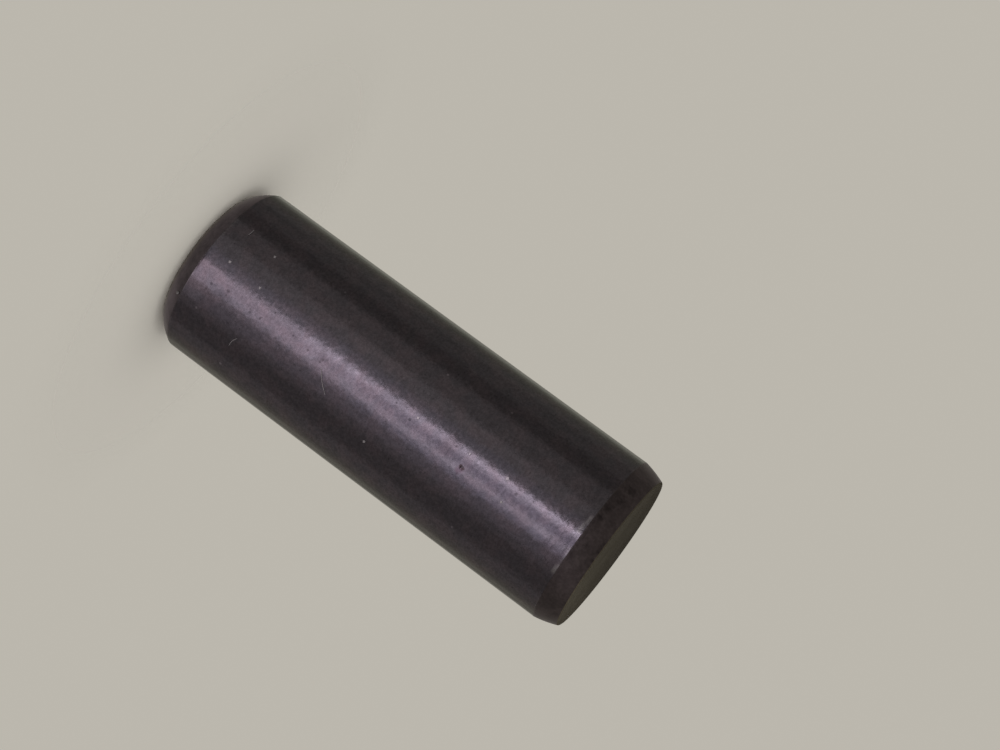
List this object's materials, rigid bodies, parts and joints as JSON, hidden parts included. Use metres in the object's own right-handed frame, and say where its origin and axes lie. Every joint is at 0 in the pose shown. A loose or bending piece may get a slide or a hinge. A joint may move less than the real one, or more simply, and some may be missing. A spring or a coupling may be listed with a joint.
{
  "type": "roller pin",
  "caption": "Plain straight steel pin with flat ends: a long shallow lead-in at one end and a short steep chamfer at the other.",
  "frame": {"origin": "centre of the flat butt face, the end with the short steep chamfer, on which the pin stands", "axes": "+Z along the pin's axis from the butt end to the entry end with the shallow lead-in; X and Y are free, because the pin is round"},
  "size_m": [0.013, 0.013, 0.035],
  "materials": {
    "blackened_steel": "satin"
  },
  "bodies": {
    "root": {"roller_pin": "blackened_steel"}
  },
  "joints": []
}
